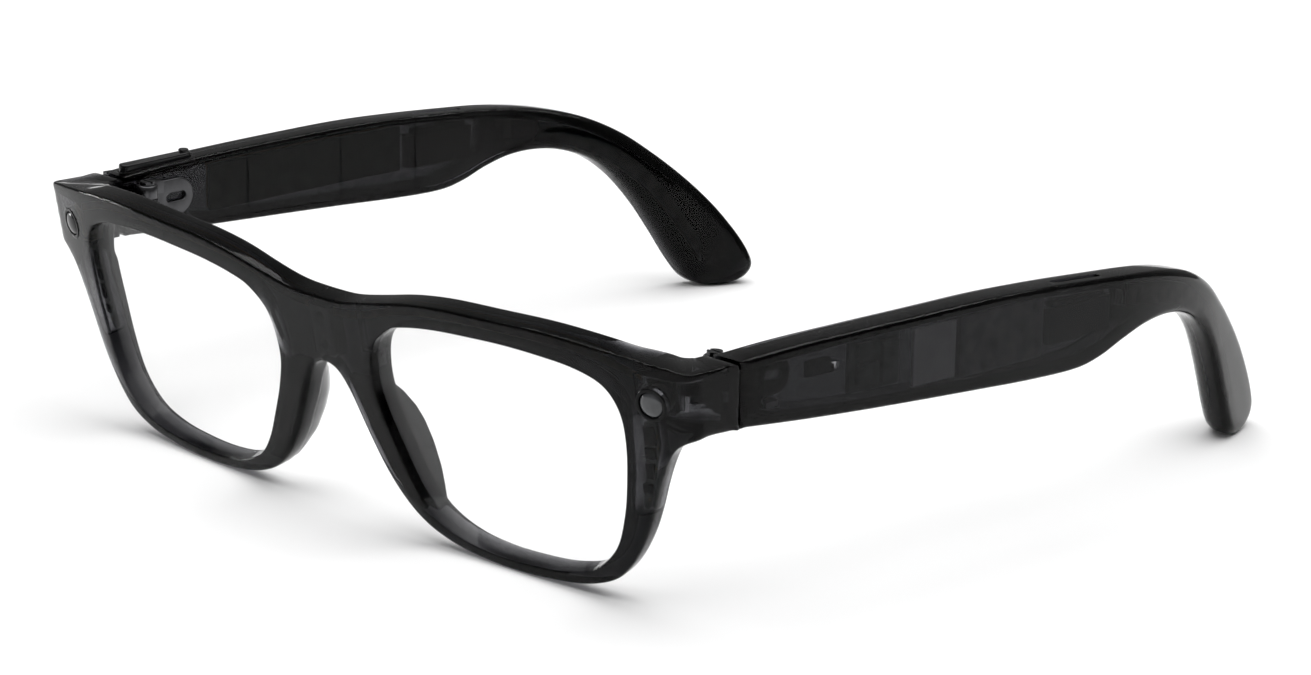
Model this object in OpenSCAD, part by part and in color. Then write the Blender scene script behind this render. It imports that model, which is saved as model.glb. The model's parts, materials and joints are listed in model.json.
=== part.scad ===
// Smart glasses: full-rim frame with camera, light, speakers and battery in the temples.
// Frame: +Z up, the lenses face -Y, Z = 0 is the table under the rims and the tips.
// "left" is the wearer's left, which is the +X side.

/* [Front] */
// half of the overall width
half_width = 74.2; // [70:0.1:78]
// lean of the front, top towards the viewer
face_tilt = 11.24; // [5:0.01:16]
// depth of the rims and the brow
rim_depth = 4.8; // [3.5:0.1:6]
// how far the ends of the front curve back, gentle share
wrap_soft = 1.66; // [0:0.01:4]
// how far the ends of the front curve back, steep share
wrap_steep = 5.15; // [0:0.01:8]
// back end of the corner blocks, where the temples start
seam_y = 18.6; // [16:0.1:22]

/* [Lenses] */
// lens thickness
lens_thick = 2.0; // [1.2:0.1:3]
// front of the lens behind the front face
lens_set = 1.65; // [1:0.05:2.5]
// how far the lens edge sits in its groove
lens_bite = 0.4; // [0.2:0.05:0.8]

/* [Camera and light] */
// sideways position of both windows
window_x = 67.5; // [64:0.1:70]
// height of both windows along the face
window_h = 32.95; // [28:0.05:36]
// window diameter
window_d = 5.2; // [4:0.1:6]

/* [Temples] */
// temple thickness beside the hinge
temple_thick = 5.6; // [4:0.1:7]
// thickness of the ear tips
tip_thick = 6.6; // [3:0.1:7]
// how far the temples bow outwards at mid length
bow_out = 2.3; // [0:0.1:4]
// where the temple starts to bend inwards
bend_y = 97.4; // [80:0.1:110]
// final inward slope of the ear tips
bend_slope = 0.385; // [0.1:0.005:0.6]
// overall depth to the end of the tips
total_depth = 154.0; // [140:0.1:160]

/* [Hinges] */
// hinge axis, sideways
hinge_x = 65.9; // [60:0.1:70]
// hinge axis, behind the front
hinge_y = 21.8; // [19:0.1:25]
// lower end of the hinge barrel
hinge_z0 = 30.6; // [28:0.1:33]
// upper end of the hinge barrel
hinge_z1 = 37.6; // [35:0.1:39]
// hinge barrel diameter
barrel_d = 3.4; // [2.5:0.1:4.5]
// hinge screw diameter
pin_d = 1.4; // [1:0.1:2]

/* [Controls] */
// capture button length
button_len = 15.0; // [8:0.1:18]
// capture button width
button_wide = 2.2; // [1.5:0.1:3]
// capture button travel
button_travel = 0.4; // [0.2:0.05:0.8]
// power switch travel
switch_travel = 1.6; // [1:0.1:3]

/* [Hidden] */
$fn = 48;
// front face above the table at the middle, before the undersides are cut flat
foot_y = 9.14;
foot_z = -0.16;
// middle of the overall depth
mid_y = 77.74;

function wrap(x) = wrap_soft * pow(x / 74, 2) + wrap_steep * pow(x / 74, 4);
function wrap_turn(x) = atan((2 * wrap_soft * x / pow(74, 2)) + (4 * wrap_steep * pow(x, 3) / pow(74, 4)));

function cr(a, b, c, d, t) = 0.5 * ((2 * b) + (c - a) * t
    + (2 * a - 5 * b + 4 * c - d) * t * t + (3 * b - a - 3 * c + d) * t * t * t);
function loop_curve(p, n) = [for (i = [0 : len(p) - 1]) for (j = [0 : n - 1])
    cr(p[(i + len(p) - 1) % len(p)], p[i], p[(i + 1) % len(p)], p[(i + 2) % len(p)], j / n)];
function open_curve(p, n) = [for (i = [0 : len(p) - 2]) for (j = [0 : n - 1])
    cr(p[max(i - 1, 0)], p[i], p[i + 1], p[min(i + 2, len(p) - 1)], j / n)];
function rev(p) = [for (i = [len(p) - 1 : -1 : 0]) p[i]];
function flip(p) = [for (q = rev(p)) [-q[0], q[1]]];
function grow(p, c, d) = [for (q = p) q + d * (q - c) / norm(q - c)];

// lower edge of the front, bridge to corner, then the brow, corner to bridge
rim_low = [[0, 25.9], [2.6, 25.1], [4.9, 21.9], [7.4, 16.6], [10.6, 10.6], [14.2, 6.1],
    [18.6, 2.9], [24.5, 0.95], [31, 0.1], [38, -0.15], [45, 0.2], [51, 0.9], [56.5, 2.7],
    [60, 5.75], [63, 10.2], [65, 14.6], [66.8, 19.5], [68.9, 24], [71.6, 26.7]];
rim_top = [[70, 39.1], [64, 39.95], [56, 40.95], [48, 41.45], [38, 41.3], [28, 40.9],
    [20, 39.9], [12, 38.3], [6, 37.2], [0, 37]];
eye = [[16, 34.7], [20.5, 36.1], [27, 37.05], [34, 37.5], [41, 37.7], [48, 37.4], [54.5, 36.6],
    [59.4, 34.7], [61.8, 31], [62.2, 26], [61.5, 20], [60.2, 14], [57.8, 8.2], [53.2, 4.1],
    [47, 2.4], [40, 1.85], [33, 1.85], [26.5, 2.7], [21, 4.9], [17.6, 8.6], [14.7, 14.2],
    [12.3, 19.7], [11, 25], [12.2, 31.2]];
eye_mid = [37, 20];
half_edge = concat(open_curve(rim_low, 4), [[half_width, 27.9], [half_width, 38.3]],
    open_curve(rim_top, 3));

// side outline of a temple: along the top, round the tip, back along the underside
t_top = [[seam_y + 0.3, 38.8], [29, 39.3], [42, 39.5], [56, 39.55], [70, 39.5], [82, 39],
    [94, 38.2], [105, 37.3], [114, 36], [122, 33.8], [129, 30.5], [135, 26.2], [140.9, 21.2],
    [146.1, 16], [150.3, 10.8], [153, 6.6]];
t_end = [[total_depth, 3.5], [152.7, 1.2], [149.8, -0.1], [146.2, -0.2], [142.9, 1.4],
    [140, 5.2], [136.6, 11], [132.9, 16.8], [128.7, 21.9], [124, 25.6], [118.4, 27.9],
    [112.6, 28.9], [106.6, 28.7], [101, 27.4], [95.6, 25.6], [90, 24.7]];
t_low = [[80, 24.9], [68, 25.6], [54, 26.4], [42, 27.1], [30, 27.9], [seam_y + 0.3, 28.8]];
temple_edge = open_curve(concat(t_top, t_end, t_low), 3);

// inward travel: a curve over 34.6 mm, then straight
function side_bend(y) = let (d = max(y - bend_y, 0), e = min(d, 34.6))
    bend_slope * (e * e / 69.2 + d - e);
function side_x(y) = half_width - 0.2 + bow_out * sin(90 * min(max((y - seam_y) / 60, 0), 1))
    - side_bend(y);
function side_t(y) = temple_thick - (temple_thick - tip_thick)
    * min(max((y - 100) / 30, 0), 1);

// ---- shared shapes ----
// puts the origin under the middle of the whole object
module centred() {
    translate([0, -mid_y, 0]) children();
}

module on_face() {
    translate([0, foot_y, foot_z]) rotate([face_tilt, 0, 0]) children();
}

// band that follows the curve of the front, a and b are depths behind the face
module wrap_band(a, b, x0, x1, z0, z1, step = 3) {
    n = ceil((x1 - x0) / step);
    xs = [for (i = [0 : n]) x0 + (x1 - x0) * i / n];
    translate([0, 0, z0]) linear_extrude(z1 - z0)
        polygon(concat([for (x = xs) [x, wrap(x) + a]], [for (x = rev(xs)) [x, wrap(x) + b]]));
}

// flat drawing in (x, height) pushed through the depth of the front
module through(y0, y1) {
    translate([0, y1, 0]) rotate([90, 0, 0]) linear_extrude(y1 - y0) children();
}

// band that follows a temple, a and b are depths inside the outer face
module side_band(a, b, y0, y1, step = 4) {
    n = ceil((y1 - y0) / step);
    ys = [for (i = [0 : n]) y0 + (y1 - y0) * i / n];
    translate([0, 0, -2]) linear_extrude(48)
        polygon(concat([for (y = ys) [side_x(y) - a, y]],
            [for (y = rev(ys)) [side_x(y) - b, y]]));
}

// temple body between its faces
module side_body() {
    ys = [for (y = [seam_y + 0.3 : 4 : 160]) y];
    translate([0, 0, -2]) linear_extrude(48)
        polygon(concat([for (y = ys) [side_x(y), y]],
            [for (y = rev(ys)) [side_x(y) - side_t(y), y]]));
}

// flat drawing in (y, z) pushed sideways
module across(x0, x1) {
    translate([x0, 0, 0]) rotate([90, 0, 90]) linear_extrude(x1 - x0) children();
}

module box(x0, x1, y0, y1, z0, z1) {
    translate([x0, y0, z0]) cube([x1 - x0, y1 - y0, z1 - z0]);
}

module upright(x, y, z0, z1, d) {
    translate([x, y, z0]) cylinder(d = d, h = z1 - z0);
}

module at_window() {
    on_face() translate([window_x, wrap(window_x), window_h])
        rotate([0, 0, wrap_turn(window_x)]) rotate([90, 0, 0]) children();
}

module lens_edge(d) { polygon(grow(loop_curve(eye, 3), eye_mid, d)); }

// corner block seen from above: whole, and its hollow
corner_plan = [[60, 4], [60, 9.6], [62.4, 12.2], [65.6, 14.2], [67.8, 16.4], [67.8, seam_y],
    [side_x(seam_y), seam_y], [half_width, 12], [half_width, 4]];
hollow_plan = [[63.8, 4], [63.8, 11.8], [66.3, 13.4], [68.9, 16.0], [69.4, 17.4],
    [72.6, 17.4], [72.6, 4]];

// hollow and board in the outer rim, seen from the front
rim_hollow = [[62.8, 21.6], [61.5, 15], [62.2, 14.2], [63.6, 14.4], [65.9, 20.4], [67, 24.8],
    [67.2, 32], [63.4, 32]];
rim_board_edge = [[63.2, 21.5], [61.9, 15.1], [62.3, 14.6], [63.4, 14.8], [65.5, 20.5],
    [66.6, 24.9], [66.7, 29.2], [63.9, 29.2]];

module behind_face(a) { on_face() wrap_band(a, 16, 50, 76, 20, 44, 2); }

// ---- front ----
module front_half() {
    intersection() {
        behind_face(0);
        translate([0, 0, 28.75]) linear_extrude(10.05) polygon(corner_plan);
    }
}

module hollow_half() {
    intersection() {
        behind_face(1.7);
        translate([0, 0, 29.95]) linear_extrude(7.6) polygon(hollow_plan);
    }
    // hollow that runs down the outer rim beside the lens
    intersection() {
        on_face() wrap_band(1.8, 3.9, 61, 67.4, 14, 32, 1.6);
        on_face() through(0, 20) polygon(rim_hollow);
    }
}

// wire channel along the brow
brow_line = [[0, 34.3], [6, 34.6], [11, 35.7], [16, 37.3], [22, 38.5], [30, 39.2], [40, 39.5],
    [50, 39.4], [57, 38.6], [63.4, 36.6]];
function brow_edge(w) = concat([for (q = open_curve(brow_line, 2)) q + [0, w]],
    [[64.4, 36.2 + w]]);
function tail(p) = [for (i = [1 : len(p) - 1]) p[i]];

module brow_channel(w, a, b) {
    on_face() intersection() {
        wrap_band(a, b, -64.4, 64.4, 28, 42, 3);
        through(-1, 20) polygon(concat(flip(brow_edge(w)), tail(brow_edge(w)),
            rev(brow_edge(-w)), tail(rev(flip(brow_edge(-w))))));
    }
}

module front_frame() {
    color([0.13, 0.13, 0.14, 0.6]) centred() difference() {
        union() {
            on_face() intersection() {
                wrap_band(0, rim_depth, -half_width, half_width, -2, 44);
                through(-1, 20) polygon(concat(half_edge, tail(flip(half_edge))));
            }
            front_half();
            mirror([1, 0, 0]) front_half();
        }
        // lens openings
        for (s = [0, 1]) mirror([s, 0, 0]) on_face() through(-2, 12) lens_edge(0);
        // lens grooves
        for (s = [0, 1]) mirror([s, 0, 0]) on_face() intersection() {
            wrap_band(lens_set - 0.05, lens_set + lens_thick + 0.05, 8, 66, -2, 44);
            through(-1, 20) lens_edge(lens_bite + 0.05);
        }
        for (s = [0, 1]) mirror([s, 0, 0]) {
            hollow_half();
            at_window() translate([0, 0, -6]) cylinder(d = window_d + 0.04, h = 8);
            // doorway for the wires, and the seat of the inner cover
            box(68.6, 72.4, 17, seam_y + 1, 31.4, 36.6);
            corner_cover_shape(0.03);
            hinge_foot(0.03);
        }
        // small flats that the rims stand on
        box(-60, 60, 0, 30, -2, 0);
        brow_channel(0.75, 1.9, 3.3);
        // seat of the charging block and the microphone
        on_face() box(-2.4, 2.4, 2.6, 6, 26.9, 35.1);
        on_face() box(7.2, 9.8, 2.6, 6, 26.4, 29.2);
        on_face() box(8.0, 9.0, 2.2, 3.3, 29, 36.4);
        // microphone port
        on_face() translate([8.5, 3, 27.8]) rotate([90, 0, 0]) cylinder(d = 0.7, h = 6);
        for (s = [0, 1]) mirror([s, 0, 0]) pad_body(0.02);
    }
}

module lens_body() {
    on_face() intersection() {
        wrap_band(lens_set, lens_set + lens_thick, 8, 66, -2, 44);
        through(-1, 20) lens_edge(lens_bite);
    }
}

module lens_left() { color([0.9, 0.93, 0.95, 0.25]) centred() lens_body(); }
module lens_right() { color([0.9, 0.93, 0.95, 0.25]) centred() mirror([1, 0, 0]) lens_body(); }

// nose pad: height, then sideways place of its nose side, crest and lens side, crest depth
pad_rows = [[24.3, 3.6, 7.2, 9.6, 4.4], [22.6, 4.6, 8.1, 10.0, 5.7], [20.5, 5.7, 9.0, 10.6, 7.1],
    [18, 6.9, 10.3, 11.4, 8.0], [15.7, 7.9, 11.3, 12.4, 8.4], [12.5, 9.6, 12.8, 14.1, 8.3],
    [9, 11.8, 14.6, 15.9, 7.6], [6.5, 13.8, 16.6, 17.8, 6.2], [4.8, 15.6, 18.6, 19.6, 4.5]];

module pad_slice(r, g) {
    a = r[1] + 0.15 - g;
    b = r[3] + g;
    translate([0, 0, r[0]]) linear_extrude(0.01) polygon([[a, 1.7 - g], [a, 3.9],
        [r[2] - 0.7 - g, r[4] + g], [r[2] + 0.4 + g, r[4] + g], [b, 4.1], [b, 1.7 - g]]);
}

module pad_body(g = 0) {
    on_face() for (i = [0 : len(pad_rows) - 2]) hull() {
        pad_slice(pad_rows[i] + [i == 0 ? g : 0, 0, 0, 0, 0], g);
        pad_slice(pad_rows[i + 1] - [i == len(pad_rows) - 2 ? g : 0, 0, 0, 0, 0], g);
    }
}

module nose_pad_left() { color([0.03, 0.03, 0.03]) centred() pad_body(); }
module nose_pad_right() { color([0.03, 0.03, 0.03]) centred() mirror([1, 0, 0]) pad_body(); }

module camera_window() {
    color([0.05, 0.05, 0.06]) centred() at_window() difference() {
        translate([0, 0, -1.6]) cylinder(d = window_d, h = 1.6);
        translate([0, 0, -0.45]) cylinder(d = 4.0, h = 1);
    }
}

module camera_lens() {
    color([0.2, 0.22, 0.25]) centred() at_window() intersection() {
        translate([0, 0, -0.42]) cylinder(d = 3.94, h = 1.2);
        translate([0, 0, -3.9]) sphere(r = 4.25, $fn = 64);
    }
}

module camera_barrel() {
    color([0.1, 0.1, 0.1]) centred() at_window() translate([0, 0, -3.2]) cylinder(d = 4.4, h = 1.55);
}

module camera_sensor() {
    color([0.2, 0.2, 0.22]) centred() at_window() translate([-2.1, -2.6, -4.4]) cube([4.2, 5.2, 1.15]);
}

// small board that runs from the camera down the outer rim
module rim_board() {
    on_face() intersection() {
        wrap_band(2.5, 3.1, 61, 67.4, 14, 29.4, 1.6);
        through(-1, 20) polygon(rim_board_edge);
    }
}

module camera_board() { color([0.1, 0.18, 0.12]) centred() rim_board(); }
module light_board() { color([0.1, 0.18, 0.12]) centred() mirror([1, 0, 0]) rim_board(); }

module light_window() {
    color([0.05, 0.05, 0.06]) centred() mirror([1, 0, 0]) at_window() difference() {
        translate([0, 0, -1.6]) cylinder(d = window_d, h = 1.6);
        translate([0, 0, -0.45]) cylinder(d = 4.0, h = 1);
    }
}

module light_lens() {
    color([0.5, 0.5, 0.5]) centred() mirror([1, 0, 0]) at_window() intersection() {
        translate([0, 0, -0.42]) cylinder(d = 3.94, h = 1.2);
        translate([0, 0, -3.9]) sphere(r = 4.25, $fn = 64);
    }
}

module light_module() {
    color([0.85, 0.8, 0.55]) centred() mirror([1, 0, 0]) at_window() {
        translate([0, 0, -2.6]) cylinder(d = 3.6, h = 0.95);
        translate([-2.3, -2.3, -3.8]) cube([4.6, 4.6, 1.25]);
    }
}

module brow_flex() { color([0.35, 0.2, 0.08]) centred() brow_channel(0.6, 2.4, 2.7); }

module charge_block() {
    color([0.05, 0.05, 0.05]) centred() on_face() difference() {
        box(-2.35, 2.35, 3.4, rim_depth - 0.05, 26.95, 35.05);
        for (h = [28.6, 33.2]) translate([0, rim_depth + 1, h]) rotate([90, 0, 0])
            cylinder(d = 1.86, h = 3);
    }
}

module charge_contacts() {
    color([0.85, 0.65, 0.25]) centred() on_face() for (h = [28.6, 33.2])
        translate([0, rim_depth + 0.15, h]) rotate([90, 0, 0]) cylinder(d = 1.8, h = 1.5);
}

module nose_microphone() {
    color([0.7, 0.7, 0.72]) centred() on_face() box(7.25, 9.75, 2.65, 3.9, 26.45, 29.15);
}

module mic_cover() {
    color([0.08, 0.08, 0.08]) centred() on_face() box(7.25, 9.75, 3.95, rim_depth - 0.05, 26.45, 29.15);
}

// inner cover of a corner block
module corner_cover_shape(g) {
    translate([0, 0, 30.6 - g]) linear_extrude(6.4 + 2 * g)
        polygon([[63.2 - g, 14.0], [63.2 - g, 11.3 - g], [63.9, 11.75 - g], [66.1 + g, 13.2 - g],
            [67.4 + g, 14.5 - g], [67.4 + g, 15.45 + g], [65.6, 15.45 + g]]);
}

module corner_cover() {
    intersection() {
        corner_cover_shape(0);
        translate([0, 0, 29]) linear_extrude(9) polygon(corner_plan);
    }
}

module corner_cover_left() { color([0.1, 0.1, 0.1]) centred() corner_cover(); }
module corner_cover_right() { color([0.1, 0.1, 0.1]) centred() mirror([1, 0, 0]) corner_cover(); }

// ---- hinges ----
hz = [hinge_z0, hinge_z0 + 2.3, hinge_z1 - 2.3, hinge_z1];

// foot of the front hinge half, let into the corner block
module hinge_foot(g) {
    box(66.0, 69.0 + g, 15.6 - g, 18.2 + g, 31.6 - g, 36.4 + g);
}

module front_hinge() {
    difference() {
        union() {
            difference() {
                box(66.4, 69.0, 15.6, 18.2, 31.6, 36.4);
                box(60, 66.6, 10, 16.0, 30, 38);
            }
            box(65.0, 67.2, 17.0, hinge_y, hz[1] + 0.05, hz[2] - 0.05);
            upright(hinge_x, hinge_y, hz[1] + 0.05, hz[2] - 0.05, barrel_d);
        }
        upright(hinge_x, hinge_y, 28, 40, pin_d + 0.04);
    }
}

module front_hinge_left() { color([0.6, 0.6, 0.62]) centred() front_hinge(); }
module front_hinge_right() { color([0.6, 0.6, 0.62]) centred() mirror([1, 0, 0]) front_hinge(); }

leaf_z = (hinge_z0 + hinge_z1 - 0.4) / 2;
module leaf_edge(d, y0, y1) {
    translate([y0, leaf_z - d / 2]) square([y1 - y0, d]);
    translate([y1, leaf_z]) circle(d = d);
}

module temple_hinge() {
    difference() {
        union() {
            for (i = [0, 2]) {
                upright(hinge_x, hinge_y, hz[i], hz[i + 1], barrel_d);
                box(hinge_x, 68.5, hinge_y - 0.4, 26.2, hz[i], hz[i + 1]);
            }
            // round-ended leaf on the inner face of the temple
            intersection() {
                side_band(temple_thick + 0.02, temple_thick + 0.85, 25.4, 34.4);
                across(60, 80) difference() {
                    leaf_edge(hz[3] - hz[0] - 0.8, 25.4, 30.2);
                    // adjusting slot
                    leaf_edge(1.5, 28.2, 31.0);
                    translate([28.2, leaf_z]) circle(d = 1.5);
                }
            }
        }
        upright(hinge_x, hinge_y, 28, 40, pin_d + 0.04);
    }
}

module temple_hinge_left() { color([0.6, 0.6, 0.62]) centred() temple_hinge(); }
module temple_hinge_right() { color([0.6, 0.6, 0.62]) centred() mirror([1, 0, 0]) temple_hinge(); }

module hinge_screw() {
    difference() {
        union() {
            upright(hinge_x, hinge_y, hinge_z0 - 0.3, hinge_z1, pin_d);
            upright(hinge_x, hinge_y, hinge_z1, hinge_z1 + 0.6, 2.4);
        }
        box(hinge_x - 1.3, hinge_x + 1.3, hinge_y - 0.2, hinge_y + 0.2,
            hinge_z1 + 0.3, hinge_z1 + 1);
    }
}

module hinge_screws() {
    color([0.7, 0.7, 0.72]) centred() {
        hinge_screw();
        mirror([1, 0, 0]) hinge_screw();
    }
}

// ---- temples ----
hollow_side = [[24, 30.2], [24, 37.3], [40, 37.9], [60, 38.0], [76, 37.9], [86, 37.2],
    [96, 36.4], [101.5, 35.8], [101.5, 30.2], [96, 28.0], [90, 26.8], [80, 26.9], [68, 27.5],
    [54, 28.2], [40, 28.9]];
cover_side = [[22.4, 29.7], [22.4, 38.0], [40, 38.7], [60, 38.8], [78, 38.5], [90, 37.6],
    [100, 36.8], [108, 35.8], [112.4, 34.4], [112, 31.4], [108, 30.2], [102, 29.0], [96, 27.0],
    [90, 25.9], [80, 26.1], [68, 26.8], [54, 27.6], [38, 28.5]];
cover_t = 1.5;
top_slot = [86, 97];
core_line = [[104, 33.6], [112, 32.4], [120, 30.4], [127, 27.0], [133, 22.2], [138, 16.4],
    [142, 10.4], [145, 5.4]];

function strip(p, w) = concat([for (q = p) q + [0, w]], rev([for (q = p) q - [0, w]]));

module hollow_shape() {
    intersection() {
        side_band(1.35, 4.15, 23, 102);
        across(50, 80) polygon(hollow_side);
    }
}

module cover_shape(g) {
    intersection() {
        // follows the inner face, which thins towards the ear
        union() {
            side_band(temple_thick - cover_t - g, temple_thick + g, 22.4 - g, 92);
            tail_band(cover_t + g, -g, 92, 112.4 + g);
        }
        across(50, 80) polygon(g == 0 ? cover_side : grow(cover_side, [66, 32.4], g));
    }
}

// band measured from the inner face
module tail_band(a, b, y0, y1) {
    n = ceil((y1 - y0) / 4);
    ys = [for (i = [0 : n]) y0 + (y1 - y0) * i / n];
    translate([0, 0, -2]) linear_extrude(48)
        polygon(concat([for (y = ys) [side_x(y) - side_t(y) + a, y]],
            [for (y = rev(ys)) [side_x(y) - side_t(y) + b, y]]));
}

module core_shape(g) {
    intersection() {
        tail_band(2.35 + g, 1.6 - g, 100, 148);
        across(50, 80) polygon(grow(strip(open_curve(core_line, 3), 1.7 + 2 * g), [125, 22], 2 * g));
    }
}

module part_between(a, b, y0, y1, z0, z1) {
    intersection() {
        side_band(a, b, y0, y1);
        box(50, 80, y0, y1, z0, z1);
    }
}

module temple_shell() {
    difference() {
        intersection() {
            side_body();
            across(40, 90) polygon(temple_edge);
        }
        // small flat that the tip stands on
        box(40, 90, 130, 160, -3, 0);
        hollow_shape();
        cover_shape(0.04);
        core_shape(0.04);
        // way in for the wires at the front
        box(69.8, 72.4, 18, 25, 31.4, 36.6);
        // sound slot in the top
        box(side_x(91) - 3.4, side_x(91) - 1.9, top_slot[0], top_slot[1], 35, 41);
        // microphone port underneath
        translate([71.6, 26.4, 26]) cylinder(d = 0.8, h = 6);
    }
}

button_y = 28;
button_turn = 3.34;
button_half = (button_len - button_wide) / 2;

module at_button() {
    translate([side_x(button_y) - 2.72, button_y, 0]) rotate([0, 0, -button_turn]) children();
}

module button_space(g, z0, z1) {
    at_button() {
        for (s = [-1, 1]) upright(0, s * button_half, z0, z1, button_wide + 2 * g);
        box(-button_wide / 2 - g, button_wide / 2 + g, -button_half, button_half, z0, z1);
    }
}

module temple_left() { color([0.13, 0.13, 0.14, 0.6]) centred() temple_shell(); }

module temple_right() {
    color([0.13, 0.13, 0.14, 0.6]) centred() mirror([1, 0, 0]) difference() {
        temple_shell();
        button_space(0.7, 38.6, 42);
        button_space(0.12, 36, 42);
    }
}

switch_y = 40.0;
switch_turn = 2.9;
module at_switch() {
    translate([side_x(switch_y) - temple_thick, switch_y, 33.4]) rotate([0, 0, -switch_turn])
        children();
}

module temple_cover_left() {
    color([0.1, 0.1, 0.11, 0.8]) centred() difference() {
        cover_shape(0);
        at_switch() translate([-1, -1.9 - switch_travel / 2, -0.75])
            cube([4, 3.8 + switch_travel, 1.5]);
    }
}

module temple_cover_right() { color([0.1, 0.1, 0.11, 0.8]) centred() mirror([1, 0, 0]) cover_shape(0); }

module power_switch() {
    color([0.1, 0.1, 0.1]) centred() at_switch() translate([0, -switch_travel / 2, 0]) {
        translate([-0.9, -2.3, -1.3]) cube([0.7, 4.6, 2.6]);
        for (y = [-1.6, -0.5, 0.6]) translate([-1.1, y, -1.0]) cube([0.25, 0.5, 2.0]);
        translate([-0.4, -1.7, -0.6]) cube([2.1, 3.4, 1.2]);
    }
}

module capture_button() {
    color([0.06, 0.06, 0.06]) centred() mirror([1, 0, 0]) {
        button_space(0, 37.28, 40.1);
        // raised nub at the rear end
        at_button() upright(0, button_half, 40, 40.6, button_wide - 0.4);
        intersection() {
            button_space(0.2, 36.75, 37.3);
            at_button() box(-5, 5, -3, 5, 30, 40);
        }
    }
}

module button_seal() {
    color([0.03, 0.03, 0.03]) centred() mirror([1, 0, 0]) difference() {
        button_space(0.68, 38.62, 38.86);
        button_space(0.15, 38, 42);
    }
}

module button_contact() {
    color([0.75, 0.75, 0.76]) centred() mirror([1, 0, 0]) at_button() {
        box(-1.2, 1.2, -1.2, 1.2, 35.2, 36.0);
        upright(0, 0, 35.95, 36.75 - button_travel - 0.05, 1.4);
    }
}

module tip_core_left() { color([0.5, 0.5, 0.52]) centred() core_shape(0); }
module tip_core_right() { color([0.5, 0.5, 0.52]) centred() mirror([1, 0, 0]) core_shape(0); }

module battery() { color([0.62, 0.63, 0.65]) centred() part_between(1.5, 3.95, 64.6, 83.0, 27.9, 37.4); }

module power_board() {
    color([0.08, 0.15, 0.1]) centred() {
        part_between(3.0, 3.6, 42.8, 53.0, 29.0, 37.4);
        part_between(2.1, 3.05, 44.2, 48.2, 30.2, 33.4);
        part_between(2.3, 3.05, 49.2, 52.2, 29.8, 36.2);
        part_between(2.4, 3.05, 44.2, 47.0, 34.4, 36.6);
    }
}

module antenna_plate() {
    color([0.45, 0.45, 0.47]) centred() part_between(1.42, 1.9, 54.6, 63.4, 28.4, 37.2);
}

module speaker_body() {
    part_between(1.5, 3.6, 84.4, 98.6, 29.3, 35.0);
    intersection() {
        part_between(1.9, 3.4, 85.6, 97.4, 34.9, 36.0);
        across(50, 80) polygon(hollow_side);
    }
}

module speaker_left() { color([0.07, 0.07, 0.07]) centred() speaker_body(); }
module speaker_right() { color([0.07, 0.07, 0.07]) centred() mirror([1, 0, 0]) speaker_body(); }

module grille_body() {
    intersection() {
        box(side_x(91) - 3.38, side_x(91) - 1.92, top_slot[0] + 0.02, top_slot[1] - 0.02,
            36.8, 40);
        across(40, 90) polygon(strip([[85, 37.75], [91, 37.35], [98, 36.75]], 0.45));
    }
}

module speaker_grille_left() { color([0.2, 0.2, 0.2]) centred() grille_body(); }
module speaker_grille_right() { color([0.2, 0.2, 0.2]) centred() mirror([1, 0, 0]) grille_body(); }

module mic_body() { box(70.7, 72.9, 25.0, 27.8, 30.3, 31.3); }
module microphone_left() { color([0.72, 0.72, 0.74]) centred() mic_body(); }
module microphone_right() { color([0.72, 0.72, 0.74]) centred() mirror([1, 0, 0]) mic_body(); }

module main_board() {
    color([0.08, 0.15, 0.1]) centred() mirror([1, 0, 0]) {
        part_between(3.1, 3.7, 39.0, 82.0, 29.4, 37.2);
        part_between(2.3, 3.15, 64.8, 69.4, 29.8, 35.2);
        part_between(2.5, 3.15, 71.0, 74.2, 30.4, 33.6);
        part_between(2.5, 3.15, 76.0, 80.4, 31.0, 36.0);
    }
}

module processor_shield() {
    color([0.7, 0.71, 0.73]) centred() mirror([1, 0, 0]) part_between(2.0, 3.05, 42.0, 63.0, 30.2, 36.6);
}

module touch_sensor() {
    color([0.35, 0.2, 0.08]) centred() mirror([1, 0, 0]) part_between(1.38, 1.6, 40.0, 83.0, 29.4, 37.2);
}

front_frame();
lens_left();
lens_right();
nose_pad_left();
nose_pad_right();
camera_window();
camera_lens();
camera_barrel();
camera_sensor();
camera_board();
light_window();
light_lens();
light_module();
light_board();
brow_flex();
charge_block();
charge_contacts();
nose_microphone();
mic_cover();
corner_cover_left();
corner_cover_right();
front_hinge_left();
front_hinge_right();
hinge_screws();
temple_left();
temple_cover_left();
temple_hinge_left();
tip_core_left();
battery();
power_board();
antenna_plate();
speaker_left();
speaker_grille_left();
microphone_left();
power_switch();
temple_right();
temple_cover_right();
temple_hinge_right();
tip_core_right();
main_board();
processor_shield();
touch_sensor();
speaker_right();
speaker_grille_right();
microphone_right();
button_seal();
button_contact();
capture_button();
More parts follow.
